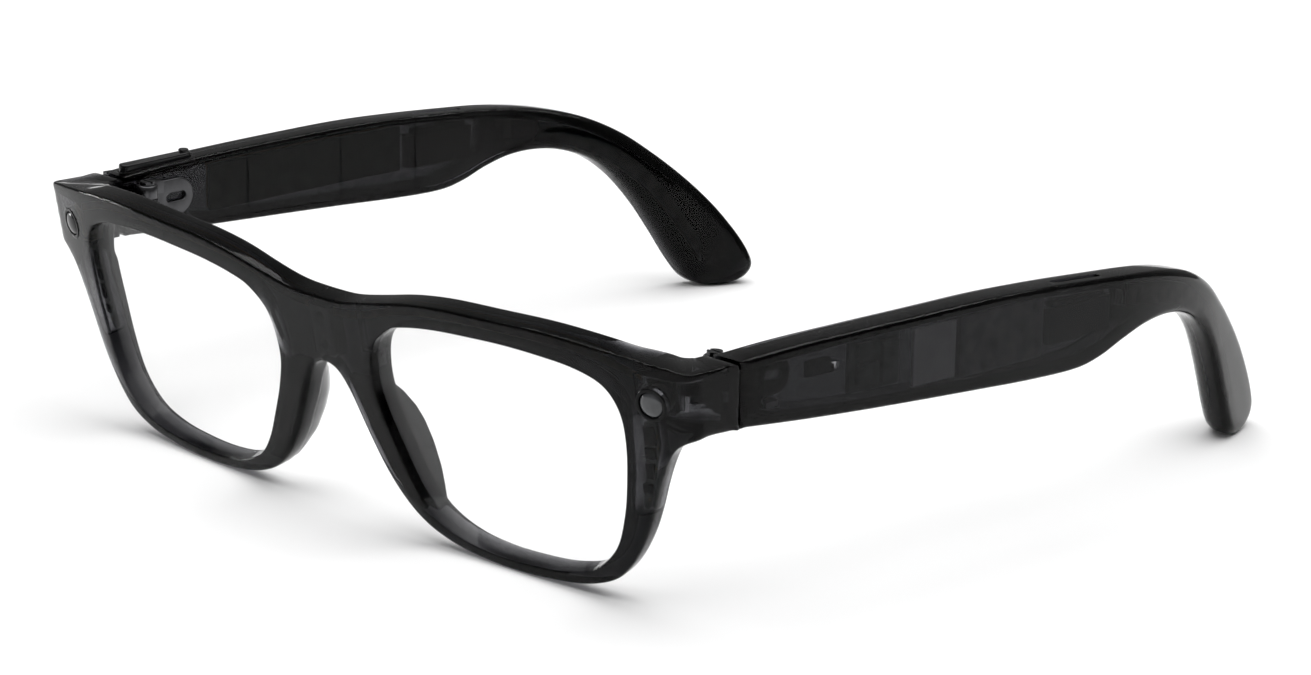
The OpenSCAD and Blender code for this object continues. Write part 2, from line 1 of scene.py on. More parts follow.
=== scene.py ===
import bpy
import bmesh
import math
import numpy as np
from mathutils import Matrix, Vector
from mathutils.geometry import delaunay_2d_cdt
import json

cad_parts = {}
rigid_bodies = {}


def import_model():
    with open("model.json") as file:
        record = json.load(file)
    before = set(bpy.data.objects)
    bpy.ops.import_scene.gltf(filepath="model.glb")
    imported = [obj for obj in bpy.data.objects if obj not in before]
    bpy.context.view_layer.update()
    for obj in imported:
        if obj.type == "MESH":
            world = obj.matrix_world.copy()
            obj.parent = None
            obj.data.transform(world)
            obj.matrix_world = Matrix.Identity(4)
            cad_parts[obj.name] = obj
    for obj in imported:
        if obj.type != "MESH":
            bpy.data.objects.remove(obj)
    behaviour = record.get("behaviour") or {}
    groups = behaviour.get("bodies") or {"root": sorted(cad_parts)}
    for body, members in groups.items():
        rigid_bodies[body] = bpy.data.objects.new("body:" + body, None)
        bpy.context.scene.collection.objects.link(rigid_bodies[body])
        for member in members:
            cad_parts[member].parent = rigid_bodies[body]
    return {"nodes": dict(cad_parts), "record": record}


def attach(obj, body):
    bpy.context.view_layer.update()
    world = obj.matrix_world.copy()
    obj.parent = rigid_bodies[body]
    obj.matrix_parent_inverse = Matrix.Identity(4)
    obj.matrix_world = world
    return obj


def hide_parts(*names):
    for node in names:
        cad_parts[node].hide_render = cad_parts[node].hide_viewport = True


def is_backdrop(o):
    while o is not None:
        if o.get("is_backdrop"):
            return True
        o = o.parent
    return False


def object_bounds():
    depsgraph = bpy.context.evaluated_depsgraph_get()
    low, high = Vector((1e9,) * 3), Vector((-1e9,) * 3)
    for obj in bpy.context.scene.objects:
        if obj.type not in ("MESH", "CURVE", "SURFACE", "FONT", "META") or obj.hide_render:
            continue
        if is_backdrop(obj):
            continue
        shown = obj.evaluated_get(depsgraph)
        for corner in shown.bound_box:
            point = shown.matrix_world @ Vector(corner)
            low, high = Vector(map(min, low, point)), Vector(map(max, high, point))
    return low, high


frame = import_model()
cad_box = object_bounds()
record = frame["record"]

# Lengths below are in millimetres, as in part.scad, with y measured from the front's foot.
# mid_y turns them into the frame's own y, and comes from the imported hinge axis.
fold = [j for j in record["behaviour"]["joints"] if j["name"] == "left_temple_fold"][0]
HINGE_Y = 21.8
mid_y = HINGE_Y - fold["pos_m"][1] * 1000
HALF_WIDTH = 74.2                    # middle to the outer side of the front
TILT = math.radians(11.24)           # backward lean of the front
FOOT_Y, FOOT_Z = 9.14, -0.16         # where the leaning face meets the floor
RIM_DEPTH = 4.8                      # thickness of the front
SEAM_Y = 18.6                        # between the front and the temples
WRAP_X, WRAP_2, WRAP_4 = 74, 1.66, 5.15   # how far the face curves back towards its ends
TEMPLE_T = 5.6                       # thickness of a temple before the ear tip
BOW, BOW_LENGTH = 2.3, 60            # outward bow of a temple behind the seam
BEND_Y, BEND_LENGTH, BEND = 97.4, 34.6, 0.385   # inward bend of the ear tip
# outer walls over the hollows, thinner than in part.scad so that the parts inside show
TEMPLE_WALL, RIM_WALL, CORNER_WALL = 0.85, 0.9, 0.95

# mesh repair, in metres
WELD = 1e-7
JOIN_SLIVERS = 3e-6
DEGENERATE = 2e-6
HEAL_ROUNDS = 6


def row(x, y, z):
    """Millimetres in the drawing's own frame to metres in the row frame."""
    return Vector((x / 1000, (y - mid_y) / 1000, max(z, 0) / 1000))


# ---------------------------------------------------------------- curves shared with the CAD
def cr(a, b, c, d, t):
    """Catmull-Rom point between b and c."""
    return 0.5 * (2 * b + (c - a) * t + (2 * a - 5 * b + 4 * c - d) * t * t
                  + (3 * b - a - 3 * c + d) * t ** 3)


def loop_curve(p, n):
    """Closed smooth curve through the points, with n steps between two of them."""
    p = np.array(p, float)
    m = len(p)
    return np.array([cr(p[i - 1], p[i], p[(i + 1) % m], p[(i + 2) % m], j / n)
                     for i in range(m) for j in range(n)])


def open_curve(p, n):
    """As loop_curve, but open."""
    p = np.array(p, float)
    m = len(p)
    pts = [cr(p[max(i - 1, 0)], p[i], p[i + 1], p[min(i + 2, m - 1)], j / n)
           for i in range(m - 1) for j in range(n)]
    return np.array(pts + [p[-1]])


def resample(p, step, closed=True):
    """Points at even spacing along a polyline."""
    q = np.vstack([p, p[:1]]) if closed else np.array(p)
    d = np.r_[0, np.cumsum(np.linalg.norm(np.diff(q, axis=0), axis=1))]
    n = max(8, int(round(d[-1] / step)))
    s = np.linspace(0, d[-1], n + 1)
    out = np.c_[np.interp(s, d, q[:, 0]), np.interp(s, d, q[:, 1])]
    return out[:-1] if closed else out


def soften(p, rounds):
    """Evens out small kinks in a closed loop."""
    for _ in range(rounds):
        p = 0.25 * np.roll(p, 1, 0) + 0.5 * p + 0.25 * np.roll(p, -1, 0)
    return p


def smooth(a, b, x):
    """0 up to a, 1 from b on, with an eased rise between."""
    t = min(max((x - a) / (b - a), 0.0), 1.0)
    return t * t * (3 - 2 * t)


def wrap(x):
    """Depth of the curved face at x."""
    return WRAP_2 * (x / WRAP_X) ** 2 + WRAP_4 * (x / WRAP_X) ** 4


def wrap_slope(x):
    return 2 * WRAP_2 * x / WRAP_X ** 2 + 4 * WRAP_4 * x ** 3 / WRAP_X ** 4


# half outlines of the front and one eye opening: distance from the middle, height on the face
RIM_LOW = [[0, 25.9], [2.6, 25.1], [4.9, 21.9], [7.4, 16.6], [10.6, 10.6], [14.2, 6.1],
           [18.6, 2.9], [24.5, 0.95], [31, 0.1], [38, -0.15], [45, 0.2], [51, 0.9],
           [56.5, 2.7], [60, 5.75], [63, 10.2], [65, 14.6], [66.8, 19.5], [68.9, 24],
           [70.6, 26.2], [73.2, 27.45], [75.6, 27.75], [79, 27.05], [82.0, 26.45]]
RIM_TOP = [[82.0, 36.7], [79, 37.25], [75.6, 37.95], [73.0, 38.5], [70, 39.1], [64, 39.95],
           [56, 40.95], [48, 41.45], [38, 41.3], [28, 40.9], [20, 39.9], [12, 38.3],
           [6, 37.2], [0, 37]]
EYE = [[16, 34.7], [20.5, 36.1], [27, 37.05], [34, 37.5], [41, 37.7], [48, 37.4],
       [54.5, 36.6], [59.4, 34.7], [61.8, 31], [62.2, 26], [61.5, 20], [60.2, 14],
       [57.8, 8.2], [53.2, 4.1], [47, 2.4], [40, 1.85], [33, 1.85], [26.5, 2.7],
       [21, 4.9], [17.6, 8.6], [14.7, 14.2], [12.3, 19.7], [11, 25], [12.2, 31.2]]
# side view of a temple: y, z
T_TOP = [[SEAM_Y + 0.3, 38.8], [29, 39.3], [42, 39.5], [56, 39.55], [70, 39.5], [82, 39],
         [94, 38.2], [105, 37.3], [114, 36], [122, 33.8], [129, 30.5], [135, 26.2],
         [140.9, 21.2], [146.1, 16], [150.3, 10.8], [153, 6.6]]
T_END = [[154, 3.5], [152.7, 1.2], [149.8, 0.02], [146.2, 0.0], [142.9, 1.4],
         [140, 5.2], [136.6, 11], [132.9, 16.8], [128.7, 21.9], [124, 25.6], [118.4, 27.9],
         [112.6, 28.9], [106.6, 28.7], [101, 27.4], [95.6, 25.6], [90, 24.7]]
T_LOW = [[80, 24.9], [68, 25.6], [54, 26.4], [42, 27.1], [30, 27.9], [SEAM_Y + 0.3, 28.8]]


def side_x(y):
    """Outer side of a temple."""
    bow = BOW * math.sin(math.pi / 2 * min(max((y - SEAM_Y) / BOW_LENGTH, 0), 1))
    d = max(y - BEND_Y, 0)
    e = min(d, BEND_LENGTH)
    return HALF_WIDTH - 0.2 + bow - BEND * (e * e / (2 * BEND_LENGTH) + d - e)


def side_t(y):
    """Thickness of a temple."""
    return TEMPLE_T + smooth(100, 130, y)


def tilt(x, d, h):
    """A point (sideways, depth behind the face, height along the face) to the drawing frame."""
    return (x, FOOT_Y + d * math.cos(TILT) - h * math.sin(TILT),
            FOOT_Z + d * math.sin(TILT) + h * math.cos(TILT))


painted = []


def finish_as(ob, slot_name):
    """Records the material slot of a piece, and paints it once the materials exist."""
    painted.append((ob, slot_name))


# ---------------------------------------------------------------- mesh building
def is_closed(me):
    """True if every edge has exactly two faces."""
    bm = bmesh.new()
    bm.from_mesh(me)
    closed = all(len(e.link_faces) == 2 for e in bm.edges)
    bm.free()
    return closed


def heal(ob):
    """Closes an open mesh: joins close points, drops the thinnest face at an edge that has
    more than two, and fills what is still open."""
    bm = bmesh.new()
    bm.from_mesh(ob.data)
    bmesh.ops.triangulate(bm, faces=bm.faces)
    bmesh.ops.remove_doubles(bm, verts=bm.verts, dist=JOIN_SLIVERS)
    bmesh.ops.dissolve_degenerate(bm, edges=bm.edges, dist=DEGENERATE)
    for _ in range(HEAL_ROUNDS):
        crowded = [e for e in bm.edges if len(e.link_faces) > 2]
        thin = {min(e.link_faces, key=lambda f: f.calc_area()) for e in crowded}
        if not thin:
            break
        bmesh.ops.delete(bm, geom=list(thin), context="FACES")
        open_edges = [e for e in bm.edges if e.is_boundary]
        bmesh.ops.holes_fill(bm, edges=open_edges, sides=0)
        bmesh.ops.triangulate(bm, faces=bm.faces)
    open_edges = [e for e in bm.edges if e.is_boundary]
    bmesh.ops.holes_fill(bm, edges=open_edges, sides=0)
    bmesh.ops.delete(bm, geom=[v for v in bm.verts if not v.link_faces], context="VERTS")
    bmesh.ops.triangulate(bm, faces=[f for f in bm.faces if len(f.verts) > 4])
    bmesh.ops.recalc_face_normals(bm, faces=bm.faces)
    bm.to_mesh(ob.data)
    bm.free()


def new_object(name, verts, faces, smooth_shade=True):
    """A mesh object from points in metres, healed if it comes out open."""
    me = bpy.data.meshes.new(name)
    me.from_pydata([tuple(v) for v in verts], [], [tuple(int(i) for i in f) for f in faces])
    bm = bmesh.new()
    bm.from_mesh(me)
    bmesh.ops.remove_doubles(bm, verts=bm.verts, dist=WELD)
    bmesh.ops.recalc_face_normals(bm, faces=bm.faces)
    bm.to_mesh(me)
    bm.free()
    if smooth_shade:
        me.polygons.foreach_set("use_smooth", [True] * len(me.polygons))
    ob = bpy.data.objects.new(name, me)
    bpy.context.collection.objects.link(ob)
    if not is_closed(me):
        heal(ob)
    return ob


def inward(p):
    """Normals of a closed loop, pointing to its left, long enough to keep an even offset."""
    a = p - np.roll(p, 1, 0)
    b = np.roll(p, -1, 0) - p
    a /= np.linalg.norm(a, axis=1)[:, None]
    b /= np.linalg.norm(b, axis=1)[:, None]
    n = np.c_[-(a + b)[:, 1], (a + b)[:, 0]]
    n /= np.linalg.norm(n, axis=1)[:, None]
    na = np.c_[-a[:, 1], a[:, 0]]
    c = np.clip((n * na).sum(1), 0.5, 1)
    return n / c[:, None]


def inside(pts, poly):
    """Which points lie inside a closed polygon."""
    x, y = pts[:, 0][:, None], pts[:, 1][:, None]
    a, b = poly, np.roll(poly, -1, 0)
    cond = (a[:, 1] > y) != (b[:, 1] > y)
    with np.errstate(divide="ignore", invalid="ignore"):
        xc = (b[:, 0] - a[:, 0]) * (y - a[:, 1]) / (b[:, 1] - a[:, 1]) + a[:, 0]
    return ((cond & (x < xc)).sum(1) % 2) == 1


TRIANGLE_ROW = 0.866     # height of a row of even triangles over their side
KEEP_OFF = 0.6           # free distance to the outline over the spacing


def fill(loops, spacing):
    """Triangles inside loops[0] and outside the other loops, with points of their own."""
    ring = np.vstack(loops)
    lo, hi = loops[0].min(0), loops[0].max(0)
    nx = int((hi[0] - lo[0]) / spacing) + 2
    ny = int((hi[1] - lo[1]) / (spacing * TRIANGLE_ROW)) + 2
    gx, gy = np.meshgrid(np.arange(nx), np.arange(ny))
    grid = np.c_[(lo[0] + (gx + 0.5 * (gy % 2)) * spacing).ravel(),
                 (lo[1] + gy * spacing * TRIANGLE_ROW).ravel()]
    keep = inside(grid, loops[0])
    for h in loops[1:]:
        keep &= ~inside(grid, h)
    grid = grid[keep]
    near = np.array([np.min(((ring - g) ** 2).sum(1)) for g in grid]) if len(grid) else grid
    grid = grid[near > (KEEP_OFF * spacing) ** 2] if len(grid) else grid.reshape(0, 2)
    pts = np.vstack([ring, grid])
    edges, start = [], 0
    for loop in loops:
        edges += [(start + i, start + (i + 1) % len(loop)) for i in range(len(loop))]
        start += len(loop)
    out = delaunay_2d_cdt([Vector(p) for p in pts], edges, [], 0, 1e-7)
    vs, faces, orig = out[0], out[2], out[3]
    xy = np.array([tuple(v) for v in vs])
    tri = np.array([f for f in faces if len(f) == 3])
    mid = xy[tri].mean(1)
    ok = inside(mid, loops[0])
    for h in loops[1:]:
        ok &= ~inside(mid, h)
    source = [o[0] if o else -1 for o in orig]
    return xy, tri[ok], source, len(ring)


def even(thickness):
    """The same thickness everywhere, for plate."""
    return lambda u, v: thickness


def plate(name, loops, place, thick, front_r, back_r, spacing=1.2, steps=5):
    """A slab drawn in two dimensions, with rounded edges, bent into place.

    loops: the outer loop counter-clockwise, then the holes clockwise. place(u, v, t): the
    point at t, 0 on the front face and 1 on the back. thick(u, v): the distance between them.
    front_r and back_r: edge radius, a number or a function of (loop number, u, v)."""
    verts, faces = [], []

    def radius(r, k, p):
        return np.array([r(k, *q) for q in p]) if callable(r) else np.full(len(p), float(r))

    ends = {0: [], 1: []}
    for k, p in enumerate(loops):
        n = inward(p)
        rings = []
        for side, r in ((0, radius(front_r, k, p)), (1, radius(back_r, k, p))):
            part = []
            for i in range(steps + 1):
                a = i / steps * math.pi / 2
                q = p + n * (r * (1 - math.sin(a)))[:, None]
                d = r * (1 - math.cos(a))
                part.append((q, d))
            ends[side].append(part[0][0])
            rings += [(q, d, side) for q, d in (part if side == 0 else part[::-1])]
        index = []
        for q, d, side in rings:
            start = len(verts)
            for (u, v), e in zip(q, d):
                t = e / thick(u, v)
                verts.append(place(u, v, t if side == 0 else 1 - t))
            index.append(start)
        m = len(p)
        for a, b in zip(index, index[1:]):
            faces += [(a + i, a + (i + 1) % m, b + (i + 1) % m, b + i) for i in range(m)]
        ends.setdefault("start", []).append((index[0], index[-1]))
    for side in (0, 1):
        xy, tri, source, ring_n = fill(ends[side], spacing)
        lookup = []
        for k, p in enumerate(ends[side]):
            lookup += [ends["start"][k][side] + i for i in range(len(p))]
        remap = {}
        for i, (pt, s) in enumerate(zip(xy, source)):
            if 0 <= s < ring_n:
                remap[i] = lookup[s]
            else:
                remap[i] = len(verts)
                verts.append(place(pt[0], pt[1], float(side)))
        faces += [tuple(remap[j] for j in t) for t in tri]
    return new_object(name, verts, faces)


def lathe(name, profile, matrix, segments=64):
    """Turns (radius, height) points about the local z axis; both ends are on the axis."""
    verts, faces, rows = [], [], []
    for r, z in profile:
        if r < 1e-6:
            rows.append([len(verts)])
            verts.append(matrix @ Vector((0, 0, z)))
        else:
            rows.append(list(range(len(verts), len(verts) + segments)))
            for i in range(segments):
                a = 2 * math.pi * i / segments
                verts.append(matrix @ Vector((r * math.cos(a), r * math.sin(a), z)))
    for a, b in zip(rows, rows[1:]):
        for i in range(segments):
            j = (i + 1) % segments
            f = [a[i % len(a)], a[j % len(a)], b[j % len(b)], b[i % len(b)]]
            f = [v for k, v in enumerate(f) if v not in f[:k]]
            if len(f) > 2:
                faces.append(f)
    return new_object(name, verts, faces)


def cut(ob, tools):
    """Takes the tools out of a mesh and removes them."""
    for tool in tools:
        mod = ob.modifiers.new("cut", "BOOLEAN")
        mod.operation = "DIFFERENCE"
        mod.solver = "EXACT"
        mod.object = tool
    bpy.context.view_layer.update()
    graph = bpy.context.evaluated_depsgraph_get()
    me = bpy.data.meshes.new_from_object(ob.evaluated_get(graph))
    ob.modifiers.clear()
    old = ob.data
    ob.data = me
    bpy.data.meshes.remove(old)
    for tool in tools:
        bpy.data.objects.remove(tool)
    heal(ob)
    sharpen(ob, 35)


def sharpen(ob, degrees):
    """Smooth shading, with edges steeper than this kept sharp."""
    bm = bmesh.new()
    bm.from_mesh(ob.data)
    for f in bm.faces:
        f.smooth = True
    for e in bm.edges:
        if len(e.link_faces) == 2 and e.calc_face_angle(0) > math.radians(degrees):
            e.smooth = False
    bm.to_mesh(ob.data)
    bm.free()


def ccw(p):
    """The loop, turned counter-clockwise."""
    p = np.array(p, float)
    q = np.roll(p, -1, 0)
    return p if np.sum(p[:, 0] * q[:, 1] - q[:, 0] * p[:, 1]) > 0 else p[::-1]


def rounded(p, step, rounds=3):
    """A polygon with small rounded corners, counter-clockwise."""
    return soften(resample(ccw(p), step), rounds)


def moved_out(p, d):
    """A counter-clockwise loop grown by d."""
    return p - inward(p) * d


def side_slab(sign, outer, inner):
    """Place function for a slab between two depths, functions of (y), inside a temple."""
    def place(y, z, t):
        a, b = outer(y), inner(y)
        return row(sign * (side_x(y) - a - (b - a) * t), y, z)
    return place


def straight_down(sign, z0, z1):
    """Place function for an outline (x, y) seen from above, from z1 down to z0."""
    return lambda x, y, t: row(sign * x, y, z1 + (z0 - z1) * t)


def band(sign, d0, d1):
    """Place function for an outline (u, h) on the curved face, between two depths."""
    def place(u, h, t):
        x, y, z = tilt(u, wrap(u) + d0 + (d1 - d0) * t, h)
        return row(sign * x, y, z)
    return place


def on_face(sign):
    """Place function for a point (x, depth, height) of the flat face."""
    def place(x, d, h):
        p = tilt(x, d, h)
        return row(sign * p[0], p[1], p[2])
    return place


def box_piece(name, lo, hi, place=row, r=0.08):
    """A box with bevelled edges between two corners, in drawing millimetres."""
    bm = bmesh.new()
    bmesh.ops.create_cube(bm, size=1)
    lo, hi = np.array(lo, float), np.array(hi, float)
    for v in bm.verts:
        v.co = Vector((lo + (np.array(v.co) + 0.5) * (hi - lo)).tolist())
    width = min(r, 0.35 * float((hi - lo).min()))
    bmesh.ops.bevel(bm, geom=bm.edges[:], offset=width, segments=2, profile=0.6,
                    affect="EDGES")
    verts = [place(*v.co) for v in bm.verts]
    faces = [[v.index for v in f.verts] for f in bm.faces]
    bm.free()
    ob = new_object(name, verts, faces)
    sharpen(ob, 40)
    return ob


def stadium(half, r, n=14):
    """A slot's outline along the second axis: half its straight length, and its end radius."""
    up = [(r * math.cos(a), half + r * math.sin(a)) for a in np.linspace(0, math.pi, n)]
    down = [(r * math.cos(a), -half + r * math.sin(a)) for a in np.linspace(math.pi, 2 * math.pi, n)]
    return np.array(up + down)


# ---------------------------------------------------------------- the front
# the arc that turns the face into the side: its radius, where it starts, and its length
ARC_R = 1.6
ARC_X = HALF_WIDTH - ARC_R * math.tan(math.radians(36.7)) * math.cos(math.radians(16.6))
TURN0 = math.atan(wrap_slope(ARC_X))
ARC_LEN = ARC_R * (math.pi / 2 - TURN0)


def outer_plan(u):
    """Outer face seen from above, in face coordinates, by distance from the middle."""
    a = abs(u)
    if a <= ARC_X:
        x, d = a, wrap(a)
    elif a <= ARC_X + ARC_LEN:
        t = TURN0 + (a - ARC_X) / ARC_R
        x = ARC_X + ARC_R * (math.sin(t) - math.sin(TURN0))
        d = wrap(ARC_X) + ARC_R * (math.cos(TURN0) - math.cos(t))
    else:
        x = ARC_X + ARC_R * (1 - math.sin(TURN0))
        d = wrap(ARC_X) + ARC_R * math.cos(TURN0) + a - ARC_X - ARC_LEN
    return x, d


# inner face of the corner blocks: distance along the face, x, y
INNER = [(58, 58.2, 10.4), (62, 61.2, 11.3), (66, 63.4, 12.75), (70, 65.0, 13.85), (73, 66.0, 14.6),
         (76, 66.9, 15.5), (78.5, 67.5, 16.3), (80.5, 67.8, 17.3), (83.5, 68.0, 18.6)]


def front_thick(u, h):
    """Thickness of the front, less at the bottom and at the bridge."""
    return RIM_DEPTH - 0.5 * (1 - smooth(5, 22, h)) - 0.4 * (1 - smooth(9, 22, abs(u)))


def block_share(u, h):
    """1 in the corner blocks, 0 in the rims."""
    return smooth(59, 64, abs(u)) * smooth(26.3, 29.6, h)


def front_point(u, h, t):
    """A point of the front, t from 0 on its outer face to 1 on its inner face."""
    sign = -1 if u < 0 else 1
    a = abs(u)
    x, d = outer_plan(a)
    ox, oy, oz = tilt(x, d, h)
    s = wrap_slope(min(a, ARC_X))
    n = math.hypot(1, s)
    deep = front_thick(u, h)
    ix, iy, iz = tilt(x - deep * s / n * smooth(0, 20, a), d + deep / n, h)
    w = block_share(u, h)
    if w > 0:
        k = np.array(INNER)
        bx = np.interp(a, k[:, 0], k[:, 1])
        by = np.interp(a, k[:, 0], k[:, 2])
        e = smooth(77, 82.5, a)
        by = by + (oy - by) * e
        ix, iy, iz = ix + (bx - ix) * w, iy + (by - iy) * w, iz + (oz - iz) * w
    y = oy + (iy - oy) * t
    return row(sign * (ox + (ix - ox) * t), y, oz + (iz - oz) * t)


def front_distance(u, h):
    return max((front_point(u, h, 1) - front_point(u, h, 0)).length * 1000, 1.0)


def seam_u(h):
    """Where the side face reaches the seam at that height."""
    d = (SEAM_Y - FOOT_Y + h * math.sin(TILT)) / math.cos(TILT)
    return ARC_X + ARC_LEN + d - (wrap(ARC_X) + ARC_R * math.cos(TURN0))


low = open_curve(RIM_LOW, 6)
top = open_curve(RIM_TOP, 6)
corner_low = [[seam_u(26.3) - 0.5, 26.33], [seam_u(26.5), 26.62]]
corner_top = [[seam_u(36.2), 36.1], [seam_u(36.4) - 0.4, 36.45]]
half = np.vstack([low, corner_low, corner_top, top])
whole = np.vstack([half, [[-q[0], q[1]] for q in half[::-1][1:-1]]])
whole = soften(resample(whole, 0.7), 2)
eye_left = ccw(resample(loop_curve(EYE, 6), 0.7))[::-1]
eye_right = np.c_[-eye_left[:, 0], eye_left[:, 1]][::-1]


def front_edge(k, u, h):
    """Edge radius on the outer face; k is 0 for the outline and more for the eyes."""
    if k:
        return 0.35
    r = 0.48 + 0.45 * (1 - smooth(20, 34, h)) + 0.5 * smooth(70, 74, abs(u)) * (1 - smooth(28, 31, h))
    return r * (1 - 0.75 * smooth(80, 82, abs(u)))


def back_edge(k, u, h):
    """Edge radius on the inner face."""
    if k:
        return 0.5
    return (0.9 + 0.5 * (1 - smooth(20, 30, h))) * (1 - 0.7 * smooth(76, 81, abs(u)))


front = plate("front_shell", [whole, eye_left, eye_right], front_point, front_distance,
              front_edge, back_edge)
# hollows of the corners and rims, seats of the small parts
WINDOW_X, WINDOW_H = 67.5, 32.95
WINDOW_SEAT_R = 2.63
POCKET_Z = 33.75                     # height at which the corner pocket's plan is drawn
RIM_HOLLOW = [[62.8, 21.6], [61.5, 15], [62.2, 14.2], [63.6, 14.4], [65.9, 20.4], [67, 24.8],
              [67.2, 31], [63.4, 31]]
RIM_BOARD = [[63.2, 21.5], [61.9, 15.1], [62.3, 14.6], [63.4, 14.8], [65.5, 20.5],
             [66.6, 24.9], [66.7, 29.2], [63.9, 29.2]]
LID_PLAN = [[63.2, 14.0], [63.2, 11.3], [63.9, 11.75], [66.1, 13.2], [67.4, 14.5],
            [67.4, 15.45], [65.6, 15.45]]
CHARGE_H = [28.6, 33.2]              # heights of the two charging pins
CHARGE_FRONT, CHARGE_BACK = 0.98, 4.75
PIN_HOLE_R = 0.94


def window_matrix(sign):
    """Local z points out of the front face at the window."""
    centre = np.array(tilt(WINDOW_X, wrap(WINDOW_X), WINDOW_H))
    s = wrap_slope(WINDOW_X)
    n = math.hypot(1, s)
    out = np.array(tilt(s / n, -1 / n, 0)) - np.array(tilt(0, 0, 0))
    across = np.array(tilt(1 / n, s / n, 0)) - np.array(tilt(0, 0, 0))
    flip = np.array([sign, 1, 1])
    out, across, centre = out * flip, across * flip, centre * flip
    z, x = Vector(out), Vector(across)
    y = z.cross(x)
    c = row(*centre)
    return Matrix([[x[i] / 1000, y[i] / 1000, z[i] / 1000, c[i]] for i in range(3)]
                  + [[0, 0, 0, 1]])


def corner_pocket():
    """Plan of the space behind the window, at the window's height."""
    near = [tilt(x, wrap(x) + CORNER_WALL, POCKET_Z)[:2] for x in np.linspace(72.7, 64, 8)]
    far = [[64.1, 11.3], [66.3, 12.8], [68.9, 15.3], [69.6, 16.6], [73.0, 16.6]]
    return np.array(near + far)


def leaning(sign, z0, z1):
    """As straight_down, but leaning with the face."""
    def place(x, y, t):
        z = z1 + (z0 - z1) * t
        return row(sign * x, y - (z - POCKET_Z) * math.tan(TILT), z)
    return place


def circle_loop(x, y, r, n=40):
    """A counter-clockwise circle."""
    a = np.linspace(0, 2 * math.pi, n, endpoint=False)
    return np.c_[x + r * np.cos(a), y + r * np.sin(a)]


tools = []
for sign in (1, -1):
    tools += [
        plate("pocket", [rounded(corner_pocket(), 0.7, 2)], leaning(sign, 31.0, 37.5),
              even(6.5), 0.4, 0.4, 3.0, 3),
        plate("rim_pocket", [rounded(RIM_HOLLOW, 0.6, 2)], band(sign, RIM_WALL, 3.8),
              even(2.9), 0.3, 0.3, 3.0, 3),
        plate("lid_seat", [moved_out(rounded(LID_PLAN, 0.3, 1), 0.05)],
              straight_down(sign, 30.55, 37.05), even(6.5), 0.3, 0.3, 3.0, 3),
        lathe("window_seat", [(0, -5), (WINDOW_SEAT_R, -5), (WINDOW_SEAT_R, 0.9), (0, 0.9)],
              window_matrix(sign))]
tools += [box_piece("charge_seat", (-2.42, 0.9, 26.88), (2.42, 7, 35.12), on_face(1), 0.3),
          box_piece("mic_seat", (7.2, 2.6, 26.4), (9.8, 7, 29.2), on_face(1), 0.2),
          box_piece("mic_channel", (8.0, 2.2, 29.0), (9.0, 3.3, 36.4), on_face(1), 0.2)]
cut(front, tools)
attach(front, "front")
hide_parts("front_frame")
finish_as(front, "frame_shell")


def front_piece(ob, node, slot_name):
    """Puts a piece on the front, in place of a CAD node if one is named."""
    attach(ob, "front")
    if node:
        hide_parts(node)
    finish_as(ob, slot_name)


for side, sign, board in (("left", 1, "camera_board"), ("right", -1, "light_board")):
    front_piece(plate("corner_lid_" + side, [rounded(LID_PLAN, 0.3, 1)],
                      straight_down(sign, 30.6, 37.0), even(6.4), 0.1, 0.1, 2.0, 3),
                "corner_cover_" + side, "inner_cover")
    front_piece(plate("rim_strip_" + side, [rounded(RIM_BOARD, 0.5, 1)], band(sign, 2.5, 3.1),
                      even(0.6), 0.02, 0.02, 2.0, 2), board, "circuit_board")
    # chips and solder pads on the strip
    for k, (u, h, w, tall) in enumerate([(64.9, 26.9, 1.0, 1.5), (64.6, 24.1, 0.9, 0.9),
                                         (64.2, 21.2, 0.7, 1.2), (63.4, 18.3, 0.8, 0.7)]):
        front_piece(plate("rim_chip_%s_%d" % (side, k), [ccw(np.array(
            [[u - w, h - tall], [u + w, h - tall], [u + w, h + tall], [u - w, h + tall]]))],
            band(sign, 2.02, 2.52), even(0.5), 0.06, 0.02, 2.0, 2), None, "housing_black")
    for k in range(7):
        h = 16.4 + 1.75 * k
        u = float(np.interp(h, [15, 21, 25, 29], [62.6, 65.0, 66.2, 66.3]))
        front_piece(plate("rim_pad_%s_%d" % (side, k), [circle_loop(u, h, 0.17, 12)],
                          band(sign, 2.4, 2.52), even(0.12), 0.03, 0.01, 1.0, 2),
                    None, "gold_contact")

rect = rounded([[-2.35, 26.95], [2.35, 26.95], [2.35, 35.05], [-2.35, 35.05]], 0.4, 1)
holes = [circle_loop(0, h, PIN_HOLE_R)[::-1] for h in CHARGE_H]
charge_t = CHARGE_BACK - CHARGE_FRONT
front_piece(plate("charge_plate", [rect] + holes,
                  lambda x, h, t: on_face(1)(x, CHARGE_FRONT + charge_t * t, h),
                  even(charge_t), 0.05, 0.18, 1.5, 3), "charge_block", "housing_black")
for k, h in enumerate(CHARGE_H):
    x, y, z = tilt(0, CHARGE_BACK, h)
    out = Vector((0, math.cos(TILT), math.sin(TILT)))
    side_axis = Vector((1, 0, 0))
    c, third = row(x, y, z), out.cross(side_axis)
    mx = Matrix([[side_axis[i] / 1000, third[i] / 1000, out[i] / 1000, c[i]] for i in range(3)]
                + [[0, 0, 0, 1]])
    pin = lathe("charge_pin_%d" % k, [(0, -1.2), (0.88, -1.2), (0.9, -1.1), (0.9, -0.15),
                                      (0.8, -0.03), (0.55, 0.02), (0, 0.04)], mx)
    front_piece(pin, "charge_contacts" if k == 0 else None, "gold_contact")


def grown(p, centre, d):
    """A loop moved away from a centre by d."""
    q = p - centre
    return p + d * q / np.linalg.norm(q, axis=1)[:, None]


